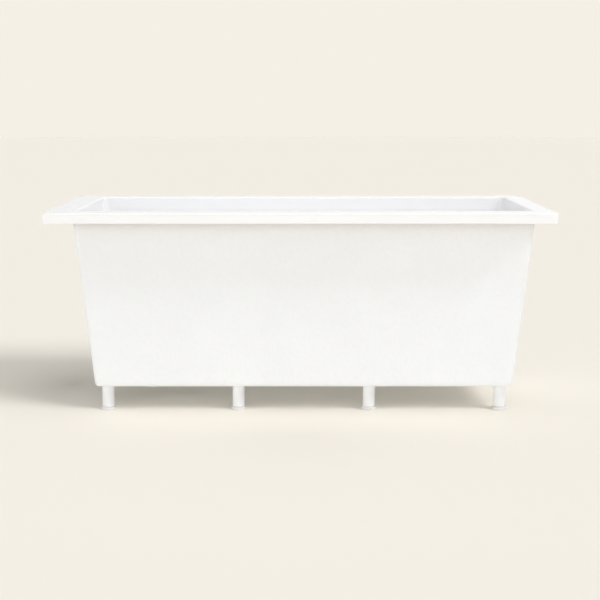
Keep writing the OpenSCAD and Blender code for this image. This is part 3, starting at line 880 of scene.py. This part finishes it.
def drop_route(start, end_x, step):
    """Centre line down the end wall, round under the bottom and along to the drain, evenly spaced."""
    fall = (off_wall(0, -HOSE_OFF).y - INLET_Z) / DRAFT_COS
    tangent = BEND * HALF_TURN
    centre = Vector((off_wall(fall, -HOSE_OFF).x + tangent, INLET_Z + BEND))
    a, b = off_wall(start, -HOSE_OFF), off_wall(fall - tangent, -HOSE_OFF)
    straight, turn = (b - a).length, BEND * math.radians(90 - LEAN)
    total = straight + turn + end_x - centre.x
    count = int(round(total / step))
    out = []
    for k in range(count + 1):
        s = total * k / count
        if s < straight:
            p, d = a.lerp(b, s / straight), (b - a).normalized()
        elif s < straight + turn:
            t = math.radians(180 + LEAN) + (s - straight) / BEND
            p = centre + BEND * Vector((math.cos(t), math.sin(t)))
            d = Vector((-math.sin(t), math.cos(t)))
        else:
            p, d = Vector((centre.x + s - straight - turn, INLET_Z)), Vector((1, 0))
        out.append((p, d, s))
    return out


def swept_mesh(route, y, radius_at, sides):
    """A capped tube along the route, in the plane at y, with its radius a function of the distance along."""
    bm = bmesh.new()
    rows = []
    for p, d, s in route:
        r = radius_at(s)
        side = Vector((-d.y, d.x))
        row = []
        for i in range(sides):
            a = 2 * math.pi * i / sides
            across = r * math.cos(a)
            row.append(bm.verts.new((p.x + across * side.x, y + r * math.sin(a), p.y + across * side.y)))
        rows.append(row)
    bridge(bm, rows)
    bm.faces.new(rows[0])
    bm.faces.new(rows[-1])
    return bm


def ribbed(s):
    return HOSE_R + RIB * math.cos(2 * math.pi * s / RIB_GAP)


hose_mesh = swept_mesh(drop_route(0.050, DRAIN_X - 0.060, 0.00125), CY, ribbed, 24)
hose = finish_mesh("overflow_hose_ribbed", hose_mesh, materials["hose_plastic"], 80)
place(hose, "tub", "hose_plastic", "overflow_hose")

cable_mesh = swept_mesh(drop_route(0.030, DRAIN_X - 0.036, 0.005), CABLE_Y, lambda s: CABLE_R, 14)
cable = finish_mesh("pull_cable_sheath", cable_mesh, materials["cable_jacket"], 60)
place(cable, "tub", "cable_jacket", "pull_cable")

# ---------- softened edges on the CAD nodes that stay ----------

BOARD_EDGE, OTHER_EDGE = 0.0010, 0.0003
for name, obj in nodes.items():
    if obj.hide_render:
        continue
    weld = obj.modifiers.new("weld", "WELD")
    weld.merge_threshold = 0.00002
    bevel = obj.modifiers.new("soft_edges", "BEVEL")
    bevel.width = BOARD_EDGE if name.startswith("rim_board") else OTHER_EDGE
    bevel.segments = 2
    bevel.limit_method = "ANGLE"
    bevel.angle_limit = math.radians(40)
    bevel.use_clamp_overlap = True
    bevel.harden_normals = False
    obj.data.shade_smooth()
    weighted(obj)

# ---------- floor, light and camera ----------

PAPER = (0.9131, 0.8714, 0.7913)
ROOM_R = 30.0

# Painted shade: soft dips in the floor's tone, as centre, reach and the share kept. In front of the bath,
# where its white front throws light back, it darkens that light away; beside its left end, under the
# overhang, and by its right end it is a painted shadow
FLOOR_PAINTED_SHADE = (
    ((0.0, -0.52), (1.6, 1.0), 0.87),
    ((-0.76, 0.17), (0.38, 0.60), 0.70),
    ((0.62, -0.10), (0.50, 0.40), 0.90),
)

# name: where from, strength, angle across
BATH_SUNS = {
    "key": ((1.0, -0.34, 0.9), 0.98, 12),
    "front": ((0.05, -1.0, 0.17), 0.68, 34),
    "bounce": ((0.05, -1.0, -0.20), 0.05, 40),
    "right": ((0.80, -0.60, 0.20), 0.14, 35),
    "left": ((-0.85, -0.5, 0.16), 0.58, 35),
    "top": ((0.0, 0.0, 1.0), 1.12, 60),
    "back": ((0.0, 1.0, 1.2), 0.25, 60),
}
FLOOR_SUNS = {
    "floor_key": ((0.9, -0.58, 0.9), 1.70, 28),
    "floor_sky": ((0.0, -0.3, 1.0), 0.67, 120),
    "floor_fill": ((0.0, 0.0, 1.0), 0.40, 1),
}
COOL = (0.975, 0.988, 1.0)
WARM = (1.0, 0.985, 0.965)


def studio():
    floor_mesh = bpy.data.meshes.new("floor")
    bm = bmesh.new()
    bmesh.ops.create_circle(bm, cap_ends=True, radius=ROOM_R, segments=96)
    bm.to_mesh(floor_mesh)
    bm.free()
    floor = bpy.data.objects.new("floor", floor_mesh)
    scene.collection.objects.link(floor)
    f = Nodes("floor")
    f.set(roughness=1.0, specular=0.0)
    tone = PAPER
    # painted shade: each dip mixes the floor's colour darker towards its centre, standing in for shadow
    # round the bath
    for centre, reach, keep in FLOOR_PAINTED_SHADE:
        place_painted_shade = f.new("ShaderNodeMapping")
        place_painted_shade.inputs["Scale"].default_value = (1 / reach[0], 1 / reach[1], 1.0)
        place_painted_shade.inputs["Location"].default_value = (-centre[0] / reach[0], -centre[1] / reach[1], 0.0)
        f.link(f.object, place_painted_shade.inputs["Vector"])
        spot = f.new("ShaderNodeTexGradient", gradient_type="QUADRATIC_SPHERE")
        f.link(place_painted_shade.outputs["Vector"], spot.inputs["Vector"])
        tone = f.mix(spot.outputs["Fac"], tone, tuple(keep * v for v in PAPER))
    f.colour(tone)
    geo = f.new("ShaderNodeNewGeometry")
    clear = f.new("ShaderNodeBsdfTransparent")
    both = f.new("ShaderNodeMixShader")
    f.link(geo.outputs["Backfacing"], both.inputs["Fac"])
    f.link(f.bsdf.outputs["BSDF"], both.inputs[1])
    f.link(clear.outputs["BSDF"], both.inputs[2])
    f.link(both.outputs["Shader"], f.tree.nodes["Material Output"].inputs["Surface"])
    floor_mesh.materials.append(f.mat)

    def dome(name, radius, colour):
        mesh = bpy.data.meshes.new(name)
        bm = bmesh.new()
        bmesh.ops.create_icosphere(bm, subdivisions=5, radius=radius)
        bm.to_mesh(mesh)
        bm.free()
        obj = bpy.data.objects.new(name, mesh)
        scene.collection.objects.link(obj)
        d = Nodes(name)
        glow = d.new("ShaderNodeEmission")
        glow.inputs["Color"].default_value = (*colour, 1)
        d.link(glow.outputs["Emission"], d.tree.nodes["Material Output"].inputs["Surface"])
        mesh.materials.append(d.mat)
        obj.visible_diffuse = False
        obj.visible_shadow = False
        return obj, d, glow

    # the cream backdrop is what the camera sees, and the white tent is what glossy surfaces mirror
    backdrop, _, _ = dome("backdrop", ROOM_R - 0.1, PAPER)
    backdrop.visible_glossy = False
    tent, d, glow = dome("tent", ROOM_R - 0.3, (1.0, 1.0, 0.99))
    tent.visible_camera = False
    across = d.new("ShaderNodeSeparateXYZ")
    d.link(d.object, across.inputs[0])
    d.link(d.range(across.outputs["X"], 0.84, 1.00, -8.0, 8.0), glow.inputs["Strength"])

    world = bpy.data.worlds.new("studio")
    world.use_nodes = True
    world.node_tree.nodes["Background"].inputs["Color"].default_value = (1, 1, 1, 1)
    world.node_tree.nodes["Background"].inputs["Strength"].default_value = 0.30
    scene.world = world

    # one set of suns lights the bath and another the floor, so that the shadow stays pale
    ground = bpy.data.collections.new("ground")
    ground.objects.link(floor)
    all_but_ground = bpy.data.collections.new("all_but_ground")
    all_but_ground.objects.link(floor)
    all_but_ground.collection_objects[0].light_linking.link_state = "EXCLUDE"

    def sun(name, towards, energy, degrees, lit, blocked_by=None):
        data = bpy.data.lights.new(name, "SUN")
        data.energy = energy
        data.angle = math.radians(degrees)
        obj = bpy.data.objects.new(name, data)
        obj.rotation_mode = "QUATERNION"
        obj.rotation_quaternion = Vector(towards).to_track_quat("Z", "Y")
        obj.light_linking.receiver_collection = lit
        obj.light_linking.blocker_collection = blocked_by
        scene.collection.objects.link(obj)
        return data

    for name, values in BATH_SUNS.items():
        data = sun(name, *values, all_but_ground, all_but_ground)
        if name == "front":
            data.color = COOL
    for name, values in FLOOR_SUNS.items():
        sun(name, *values, ground, ground if name == "floor_fill" else None)

    # a weak panel down in the basin stands for the light that the white walls pass between them
    panel = bpy.data.lights.new("basin_glow", "AREA")
    panel.shape = "RECTANGLE"
    panel.size = 1.2
    panel.size_y = 0.15
    panel.energy = 0.35
    panel.color = WARM
    glow_obj = bpy.data.objects.new("basin_glow", panel)
    glow_obj.location = (0.03, -0.14, 0.46)
    glow_obj.rotation_mode = "QUATERNION"
    glow_obj.rotation_quaternion = Vector((0.10, -1.0, -0.10)).to_track_quat("Z", "Y")
    glow_obj.visible_camera = False
    glow_obj.visible_glossy = False
    scene.collection.objects.link(glow_obj)

    camera = bpy.data.cameras.new("camera")
    camera.sensor_width = 36.0
    camera.lens = 78.21
    camera.clip_end = 100.0
    holder = bpy.data.objects.new("camera", camera)
    holder.location = (0.0, -4.1262, 0.9441)
    holder.rotation_euler = (math.radians(81.283), 0, 0)
    scene.collection.objects.link(holder)
    scene.camera = holder
    scene.view_settings.view_transform = "Standard"


studio()
